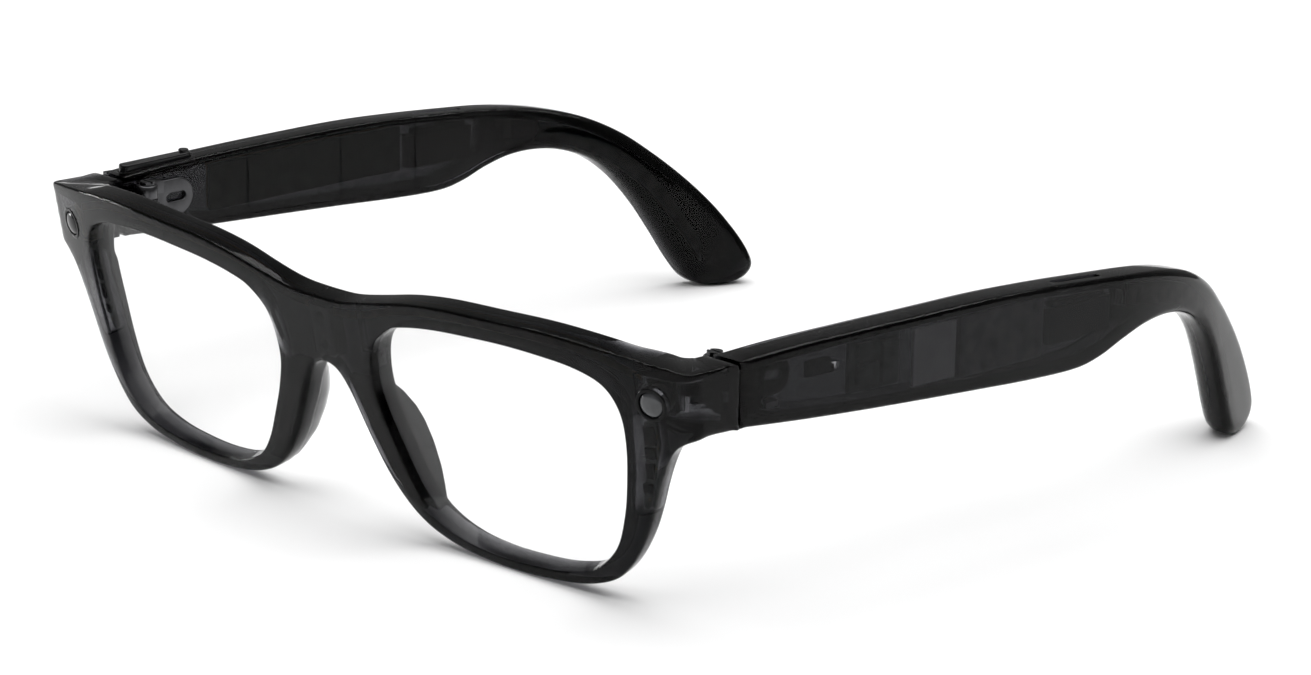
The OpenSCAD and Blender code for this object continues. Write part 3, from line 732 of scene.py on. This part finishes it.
def lens_point(sign):
    def place(u, h, t):
        x, y, z = tilt(u, wrap(u) + 1.65 + 2.0 * t, h)
        return row(sign * x, y, z)
    return place


rim = grown(eye_left[::-1], np.array([37, 20]), 0.4)
for side, sign in (("left", 1), ("right", -1)):
    ob = plate("clear_lens_" + side, [rim], lens_point(sign), even(2.0), 0.2, 0.2, 2.5, 2)
    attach(ob, "front")
    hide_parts("lens_" + side)
    finish_as(ob, "lens")

# height, sideways place of the nose side, the crest and the lens side, depth of the crest
PAD_ROWS = [[24.3, 3.6, 7.2, 9.6, 4.4], [22.6, 4.6, 8.1, 10.0, 5.7], [20.5, 5.7, 9.0, 10.6, 7.1],
            [18, 6.9, 10.3, 11.4, 8.0], [15.7, 7.9, 11.3, 12.4, 8.4],
            [12.5, 9.6, 12.8, 14.1, 8.3], [9, 11.8, 14.6, 15.9, 7.6],
            [6.5, 13.8, 16.6, 17.8, 6.2], [4.8, 15.6, 18.6, 19.6, 4.5]]


def loft(name, sections, place):
    """Joins closed sections of equal length; each end is drawn in to a point."""
    verts, faces = [], []
    n = len(sections[0])
    for sec in sections:
        verts += [place(*p) for p in sec]
    for r in range(len(sections) - 1):
        for i in range(n):
            j = (i + 1) % n
            faces.append((r * n + i, r * n + j, (r + 1) * n + j, (r + 1) * n + i))
    for r, first in ((0, True), (len(sections) - 1, False)):
        verts.append(place(*np.mean(sections[r], axis=0)))
        c = len(verts) - 1
        faces += [(r * n + i, r * n + (i + 1) % n, c) for i in range(n)]
    return new_object(name, verts, faces)


def pad_sections():
    """Rings of (x, depth, height) up a nose pad."""
    k = np.array(PAD_ROWS)[::-1]
    out = []
    count = 34
    for i in range(count + 1):
        f = i / count
        h = k[0, 0] + (k[-1, 0] - k[0, 0]) * (0.5 - 0.5 * math.cos(math.pi * f))
        nose, crest, lens, deep = [np.interp(h, k[:, 0], k[:, c]) for c in (1, 2, 3, 4)]
        nose += 0.15
        ring = [[nose, 1.75], [nose - 0.05, 3.0], [nose + 0.1, 4.0],
                [0.5 * (nose + crest) - 0.55, 0.5 * (deep + 4.0) + 0.1], [crest - 0.75, deep - 0.25],
                [crest - 0.1, deep], [crest + 0.55, deep - 0.35],
                [0.45 * crest + 0.55 * lens + 0.35, 0.5 * (deep + 4.0)], [lens, 4.1], [lens, 3.0],
                [lens, 1.75], [0.5 * (nose + lens), 1.75]]
        ring = loop_curve(ring, 4)
        shrink = 1 - 0.45 * (1 - min(f, 1 - f) / 0.06) if min(f, 1 - f) < 0.06 else 1
        mid = ring.mean(0)
        ring = mid + (ring - mid) * shrink
        out.append([(x, d, h) for x, d in ring])
    return out


for side, sign in (("left", 1), ("right", -1)):
    ob = loft("nose_wing_" + side, pad_sections(), lambda x, d, h, s=sign: row(*(
        lambda p: (s * p[0], p[1], p[2]))(tilt(x, d + wrap(x), h))))
    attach(ob, "front")
    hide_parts("nose_pad_" + side)
    finish_as(ob, "nose_pad")

# ---------------------------------------------------------------- the temples
edge = open_curve(T_TOP + T_END + T_LOW, 6)
edge = ccw(resample(edge, 0.8))


def temple_point(sign):
    def place(y, z, t):
        return row(sign * (side_x(y) - side_t(y) * t), y, z)
    return place


def temple_front_r(k, y, z):
    r = 0.75 + 1.0 * smooth(100, 128, y)
    return r * (1 - 0.8 * (1 - smooth(19, 20.5, y)))


def temple_back_r(k, y, z):
    r = 0.6 + 2.2 * smooth(100, 132, y)
    return r * (1 - 0.7 * (1 - smooth(19, 20.5, y)))


# the space inside a temple and the lid that closes it: y, z
HOLLOW = [[24, 30.2], [24, 37.3], [40, 37.9], [60, 38.0], [76, 37.9], [86, 37.2], [96, 36.4],
          [101.5, 35.8], [101.5, 30.2], [96, 28.0], [90, 26.8], [80, 26.9], [68, 27.5],
          [54, 28.2], [40, 28.9]]
COVER = [[22.4, 29.7], [22.4, 38.0], [40, 38.7], [60, 38.8], [78, 38.5], [90, 37.6], [100, 36.8],
         [108, 35.8], [112.4, 34.4], [112, 31.4], [108, 30.2], [102, 29.0], [96, 27.0],
         [90, 25.9], [80, 26.1], [68, 26.8], [54, 27.6], [38, 28.5]]
SLOT_Y0, SLOT_Y1 = 86, 97            # ends of the sound slot
LID_JOINTS = [46, 67, 84]            # joint lines across a lid
LID_T, LID_GAP = 1.28, 0.07
BUTTON_Y, BUTTON_TURN = 28.0, math.radians(3.34)
BUTTON_HALF, BUTTON_R, BUTTON_GAP = 6.4, 1.1, 0.14


def button_place(sign, z0, z1):
    """As straight_down, about the capture button's middle and along its turned axis."""
    cx = side_x(BUTTON_Y) - 2.72

    def place(u, v, t):
        x = cx + u * math.cos(BUTTON_TURN) + v * math.sin(BUTTON_TURN)
        y = BUTTON_Y - u * math.sin(BUTTON_TURN) + v * math.cos(BUTTON_TURN)
        return row(sign * x, y, z1 + (z0 - z1) * t)
    return place


def sound_mesh(side, sign, slot_x):
    """Fine mesh at the bottom of the sound slot: 28 bars across it and 5 along it."""
    bars = []
    verts, faces = [], []
    for i in range(28):
        y = SLOT_Y0 + 0.25 + i * (SLOT_Y1 - SLOT_Y0 - 0.5) / 27
        bars.append(([y - 0.09, -0.68], [y + 0.09, 0.68]))
    for i in range(5):
        v = -0.6 + 0.3 * i
        bars.append(([SLOT_Y0 + 0.05, v - 0.05], [SLOT_Y1 - 0.05, v + 0.05]))
    for (a, b), (c, d) in bars:
        n = len(verts)
        for z in (-0.1, 0.1):
            for yy, vv in ((a, b), (c, b), (c, d), (a, d)):
                top_z = np.interp(yy, [85, 91, 98], [38.1, 37.75, 37.2])
                verts.append(row(sign * (slot_x + vv), yy, top_z + z))
        faces += [[n, n + 3, n + 2, n + 1], [n + 4, n + 5, n + 6, n + 7], [n, n + 1, n + 5, n + 4],
                  [n + 1, n + 2, n + 6, n + 5], [n + 2, n + 3, n + 7, n + 6],
                  [n + 3, n, n + 4, n + 7]]
    return new_object("sound_mesh_" + side, verts, faces, False)


for side, sign in (("left", 1), ("right", -1)):
    ob = plate("temple_body_" + side, [edge], temple_point(sign), lambda y, z: side_t(y),
               temple_front_r, temple_back_r, 2.0)
    cover_edge = rounded(COVER, 0.8, 4)
    hollow_edge = rounded(HOLLOW, 1.0, 3)
    recess = plate("recess", [moved_out(cover_edge, LID_GAP)],
                   side_slab(sign, lambda y: side_t(y) - 1.5, lambda y: side_t(y) + 0.8),
                   even(2.3), 0.15, 0.1, 4.0, 2)
    cavity = plate("cavity", [hollow_edge],
                   side_slab(sign, lambda y: TEMPLE_WALL, lambda y: side_t(y) - 1.3),
                   even(3.5), 0.3, 0.1, 4.0, 3)
    slot = rounded([[SLOT_Y0, -0.7], [SLOT_Y1, -0.7], [SLOT_Y1, 0.7], [SLOT_Y0, 0.7]], 0.3, 3)
    slot_x = side_x(91) - 2.65
    mouth = plate("mouth", [slot], lambda u, v, t, s=sign: row(s * (slot_x + v), u, 41 - 4.4 * t),
                  even(4.4), 0.1, 0.1, 4.0, 2)
    tools = [recess, cavity, mouth]
    if side == "right":
        tools.append(plate("button_slot", [ccw(stadium(BUTTON_HALF, BUTTON_R + BUTTON_GAP))],
                           button_place(sign, 36.0, 42.0), even(6.0), 0.1, 0.1, 4.0, 2))
    cut(ob, tools)
    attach(ob, side + "_temple")
    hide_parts("temple_" + side)
    finish_as(ob, "temple_shell")

    cover = plate("temple_lid_" + side, [cover_edge],
                  side_slab(sign, lambda y: side_t(y) - LID_T, lambda y: side_t(y) - 0.01),
                  even(1.27), 0.1, 0.16, 3.0, 3)
    if side == "left":
        window = rounded([[37.3, 32.65], [42.7, 32.65], [42.7, 34.15], [37.3, 34.15]], 0.25, 3)
        cut(cover, [plate("switch_slot", [window],
                          side_slab(sign, lambda y: side_t(y) - 2.2, lambda y: side_t(y) + 1),
                          even(3.2), 0.1, 0.1, 2.0, 2)])
    cut(cover, [box_piece("groove", (y, 20, -0.22), (y + 0.3, 45, 1.0), lambda v, z, d, s=sign: row(
        s * (side_x(v) - side_t(v) - d), v, z), 0.02) for y in LID_JOINTS])
    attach(cover, side + "_temple")
    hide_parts("temple_cover_" + side)
    finish_as(cover, "inner_cover")

    grille = sound_mesh(side, sign, slot_x)
    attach(grille, side + "_temple")
    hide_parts("speaker_grille_" + side)
    finish_as(grille, "grille_mesh")

# capture button: bar, and the nub at its rear end
button = plate("capture_bar", [ccw(stadium(BUTTON_HALF, BUTTON_R))], button_place(-1, 37.28, 40.1),
               even(2.82), 0.3, 0.1, 2.0, 4)
nub = plate("capture_nub", [ccw(stadium(0.02, 0.85, 20)) + [0, BUTTON_HALF - 0.1]],
            button_place(-1, 39.8, 40.6), even(0.8), 0.22, 0.05, 2.0, 4)
for ob in (button, nub):
    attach(ob, "shutter_button")
    finish_as(ob, "button_black")
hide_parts("capture_button")

# ---------------------------------------------------------------- hinges
HINGE_X = 65.9
BARREL_Z = [30.6, 32.9, 35.3, 37.6]  # ends of the three knuckles
LEAF_Z = 33.9
TEMPLE_ARM_X, FRONT_ARM_X = (66.9, 68.5), (65.0, 67.2)


def knuckle(name, sign, z0, z1, r=1.7, bore=0.74):
    """A ring about the hinge axis with softened rims."""
    c = 0.18
    prof = [(bore, z0 + 0.02), (r - c, z0 + 0.02), (r, z0 + c), (r, z1 - c), (r - c, z1 - 0.02),
            (bore, z1 - 0.02), (bore, z0 + 0.02)]
    verts, faces, seg = [], [], 48
    for rr, z in prof[:-1]:
        verts += [row(sign * (HINGE_X + rr * math.cos(2 * math.pi * i / seg)),
                      HINGE_Y + rr * math.sin(2 * math.pi * i / seg), z) for i in range(seg)]
    n = len(prof) - 1
    for k in range(n):
        for i in range(seg):
            faces.append((k * seg + i, k * seg + (i + 1) % seg,
                          ((k + 1) % n) * seg + (i + 1) % seg, ((k + 1) % n) * seg + i))
    ob = new_object(name, verts, faces)
    sharpen(ob, 50)
    return ob


def mirrored(sign, xs):
    """The two x values on one side, the smaller first."""
    return sorted(sign * x for x in xs)


def leaf_outline(d, y0, y1):
    """A leaf of width d from y0, with a round end beyond y1."""
    a = np.linspace(-math.pi / 2, math.pi / 2, 20)
    return np.vstack([[[y0, LEAF_Z - d / 2]], np.c_[y1 + d / 2 * np.cos(a), LEAF_Z + d / 2 * np.sin(a)],
                      [[y0, LEAF_Z + d / 2]]])


for side, sign in (("left", 1), ("right", -1)):
    leaf_loop = soften(resample(ccw(leaf_outline(6.2, 25.2, 30.2)), 0.35), 2)
    slot_loop = soften(resample(ccw(stadium(1.4, 0.75)[:, ::-1] + [29.6, LEAF_Z]), 0.3), 1)[::-1]
    leaf = plate("hinge_leaf_" + side, [leaf_loop, slot_loop],
                 side_slab(sign, lambda y: side_t(y) + 0.85, lambda y: side_t(y) - 0.05),
                 even(0.9), 0.2, 0.05, 1.2, 3)
    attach(leaf, side + "_temple")
    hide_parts("temple_hinge_" + side)
    finish_as(leaf, "hinge_steel")
    x0, x1 = mirrored(sign, TEMPLE_ARM_X)
    for k, (z0, z1) in enumerate(((BARREL_Z[0], BARREL_Z[1]), (BARREL_Z[2], BARREL_Z[3]))):
        for ob in (knuckle("hinge_knuckle_%s_%d" % (side, k), sign, z0, z1),
                   box_piece("hinge_arm_%s_%d" % (side, k), (x0, 21.6, z0 + 0.03),
                             (x1, 26.0, z1 - 0.03), r=0.2)):
            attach(ob, side + "_temple")
            finish_as(ob, "hinge_steel")
    middle = knuckle("hinge_eye_" + side, sign, BARREL_Z[1] + 0.05, BARREL_Z[2] - 0.05)
    x0, x1 = mirrored(sign, FRONT_ARM_X)
    arm = box_piece("hinge_root_" + side, (x0, 16.2, BARREL_Z[1] + 0.08),
                    (x1, 20.6, BARREL_Z[2] - 0.08), r=0.2)
    for ob in (middle, arm):
        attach(ob, "front")
        finish_as(ob, "hinge_steel")
    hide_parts("front_hinge_" + side)

# ---------------------------------------------------------------- windows and dome lenses
# profiles to turn: radius, height out of the face
RING = [(0, -1.5), (2.3, -1.5), (2.55, -1.4), (2.6, -1.2), (2.6, -0.05), (2.56, 0.07), (2.46, 0.12),
        (2.2, 0.12), (2.08, 0.08), (2.02, 0.0), (2.0, -0.1), (2.0, -0.42), (0, -0.42)]
DOME = [(0, -0.5), (1.5, -0.5), (1.9, -0.46), (1.97, -0.38), (1.95, -0.3)] + [
    (1.95 * math.cos(a), -0.3 + 0.72 * math.sin(a)) for a in
    [math.pi / 2 * i / 14 for i in range(1, 14)]] + [(0, 0.42)]
for side, sign, kind in (("left", 1, "camera"), ("right", -1, "light")):
    mx = window_matrix(sign)
    ring = lathe(kind + "_ring", RING, mx)
    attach(ring, "front")
    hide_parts(kind + "_window")
    finish_as(ring, "window_ring")
    dome = lathe(kind + "_dome", DOME, mx)
    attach(dome, "front")
    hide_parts(kind + "_lens")
    finish_as(dome, "camera_glass" if kind == "camera" else "light_diffuser")

# ---------------------------------------------------------------- materials
def material(name, colour, rough, metal=0.0, transmission=0.0, ior=1.5, alpha=1.0,
             noise=400.0, spread=0.25, rough_spread=0.06, specular=0.5):
    """A Principled material whose colour and roughness vary a little with noise."""
    mat = bpy.data.materials.new(name)
    mat.use_nodes = True
    nt = mat.node_tree
    b = nt.nodes["Principled BSDF"]
    b.inputs["Metallic"].default_value = metal
    b.inputs["IOR"].default_value = ior
    b.inputs["Transmission Weight"].default_value = transmission
    b.inputs["Specular IOR Level"].default_value = specular
    b.inputs["Alpha"].default_value = alpha
    tc = nt.nodes.new("ShaderNodeTexCoord")
    no = nt.nodes.new("ShaderNodeTexNoise")
    no.inputs["Scale"].default_value = noise
    no.inputs["Detail"].default_value = 4.0
    nt.links.new(tc.outputs["Object"], no.inputs["Vector"])
    ramp = nt.nodes.new("ShaderNodeValToRGB")
    ramp.color_ramp.elements[0].position = 0.3
    ramp.color_ramp.elements[1].position = 0.7
    ramp.color_ramp.elements[0].color = tuple(c * (1 - spread) for c in colour) + (1,)
    ramp.color_ramp.elements[1].color = tuple(min(c * (1 + spread), 1) for c in colour) + (1,)
    nt.links.new(no.outputs["Fac"], ramp.inputs["Fac"])
    nt.links.new(ramp.outputs["Color"], b.inputs["Base Color"])
    mr = nt.nodes.new("ShaderNodeMapRange")
    mr.inputs["To Min"].default_value = max(rough - rough_spread, 0.0)
    mr.inputs["To Max"].default_value = rough + rough_spread
    nt.links.new(no.outputs["Fac"], mr.inputs["Value"])
    nt.links.new(mr.outputs["Result"], b.inputs["Roughness"])
    return mat


def tinted(name, density):
    """Clear plastic that darkens with depth. The low index keeps its reflections dark."""
    mat = material(name, (0.9, 0.9, 0.9), 0.03, transmission=1.0, ior=1.21, spread=0.02,
                   rough_spread=0.015)
    nt = mat.node_tree
    ab = nt.nodes.new("ShaderNodeVolumeAbsorption")
    ab.inputs["Color"].default_value = (0.35, 0.35, 0.37, 1)
    ab.inputs["Density"].default_value = density
    nt.links.new(ab.outputs["Volume"], nt.nodes["Material Output"].inputs["Volume"])
    return mat


MATS = {
    "frame_shell": tinted("smoke_plastic", 1650.0),
    "temple_shell": tinted("smoke_temple", 2100.0),
    "inner_cover": tinted("smoke_lid", 3000.0),
    "lens": material("clear_lens", (0.98, 0.98, 0.98), 0.02, alpha=0.06, spread=0.01,
                     rough_spread=0.01),
    "nose_pad": material("pad_black", (0.004, 0.004, 0.0045), 0.14, noise=900, specular=0.2),
    "window_ring": material("ring_black", (0.002, 0.002, 0.0022), 0.1, specular=0.12),
    "camera_glass": material("camera_glass", (0.045, 0.047, 0.05), 0.06),
    "light_diffuser": material("light_diffuser", (0.012, 0.012, 0.013), 0.1, specular=0.35),
    "light_emitter": material("light_emitter", (0.6, 0.55, 0.35), 0.4),
    "housing_black": material("housing_black", (0.008, 0.008, 0.009), 0.4, specular=0.3),
    "circuit_board": material("circuit_board", (0.12, 0.14, 0.13), 0.35),
    "flex": material("flex", (0.12, 0.07, 0.03), 0.35),
    "gold_contact": material("gold_contact", (0.75, 0.55, 0.25), 0.25, metal=1.0),
    "hinge_steel": material("hinge_steel", (0.07, 0.07, 0.073), 0.3, metal=1.0, spread=0.15),
    "core_steel": material("core_steel", (0.07, 0.07, 0.072), 0.35, metal=1.0),
    "pouch_foil": material("pouch_foil", (0.2, 0.2, 0.21), 0.4, metal=0.6),
    "shield_can": material("shield_can", (0.35, 0.35, 0.36), 0.35, metal=0.9),
    "grille_mesh": material("grille_mesh", (0.02, 0.02, 0.02), 0.5, metal=0.4),
    "button_black": material("button_black", (0.006, 0.006, 0.0065), 0.16, specular=0.25),
    "seal_rubber": material("seal_rubber", (0.01, 0.01, 0.01), 0.6),
}


def paint(ob, mat):
    """Gives one of this script's own pieces its material."""
    ob.data.materials.clear()
    ob.data.materials.append(mat)


def paint_node(ob, mat):
    """Assigns a material to the slots that a CAD node has."""
    meshes = [ob] if ob.type == "MESH" else [c for c in ob.children_recursive if c.type == "MESH"]
    for m in meshes:
        for material_slot in m.material_slots:
            material_slot.material = mat


slots = {s["node"]: s["material_slot"] for s in record["subparts"]}
for node, ob in frame["nodes"].items():
    paint_node(ob, MATS[slots[node]])
for ob, slot_name in painted:
    paint(ob, MATS[slot_name])
paint_node(frame["nodes"]["antenna_plate"],
           material("antenna_foil", (0.8, 0.8, 0.81), 0.5, noise=60))

# ---------------------------------------------------------------- stage, light and camera
bpy.ops.mesh.primitive_grid_add(x_subdivisions=2, y_subdivisions=2, size=8, location=(0, 0, 0))
floor = bpy.context.object
floor.name = "floor"
paint(floor, material("floor_pale", (0.93, 0.93, 0.93), 0.7, spread=0.004, noise=3))
floor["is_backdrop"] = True


def area(name, loc, target, size, power, size_y=None):
    """An area light at loc that faces target; a square one unless size_y is given."""
    li = bpy.data.lights.new(name, "AREA")
    li.energy = power
    li.size = size
    if size_y:
        li.shape = "RECTANGLE"
        li.size_y = size_y
    ob = bpy.data.objects.new(name, li)
    ob.location = loc
    d = Vector(target) - Vector(loc)
    ob.rotation_euler = d.to_track_quat("-Z", "Y").to_euler()
    bpy.context.collection.objects.link(ob)
    return ob


area("overhead", (0.1, 0.1, 1.6), (0, 0, 0), 2.6, 53)
area("left_box", (-1.3, -0.55, 0.12), (0, 0, 0.03), 0.42, 6.5, 0.42)
world = bpy.data.worlds.new("studio")
bpy.context.scene.world = world
world.use_nodes = True
world.node_tree.nodes["Background"].inputs["Color"].default_value = (1, 1, 1, 1)
world.node_tree.nodes["Background"].inputs["Strength"].default_value = 0.2

# the camera: its angles, solved from mirrored points in the photograph, its distance in
# metres, its offsets across and up, and its focal length over the frame's width
AZ, EL, ROLL = math.radians(45.6), math.radians(15.85), math.radians(1.1)
DISTANCE, SHIFT_RIGHT, SHIFT_UP = 0.727, 0.00305, -0.00291
SENSOR, FOCAL_RATIO = 36.0, 4490 / 1311
back = Vector((math.sin(AZ) * math.cos(EL), -math.cos(AZ) * math.cos(EL), math.sin(EL)))
right = Vector((math.cos(AZ), math.sin(AZ), 0))
up = back.cross(right)
cam_right = math.cos(ROLL) * right + math.sin(ROLL) * up
cam_up = -math.sin(ROLL) * right + math.cos(ROLL) * up
cam = bpy.data.cameras.new("camera")
cam.sensor_fit = "HORIZONTAL"
cam.sensor_width = SENSOR
cam.lens = SENSOR * FOCAL_RATIO
cam.clip_start = 0.01
cam_ob = bpy.data.objects.new("camera", cam)
spot = row(0, 70, 20) + DISTANCE * back + SHIFT_RIGHT * cam_right + SHIFT_UP * cam_up
m = [[cam_right[i], cam_up[i], back[i], spot[i]] for i in range(3)] + [[0, 0, 0, 1]]
cam_ob.matrix_world = Matrix(m)
bpy.context.collection.objects.link(cam_ob)
bpy.context.scene.camera = cam_ob
bpy.context.scene.view_settings.view_transform = "Standard"

visual_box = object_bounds()
for b in (cad_box, visual_box):
    str([[round(float(c), 6) for c in p] for p in b]) + "\n"
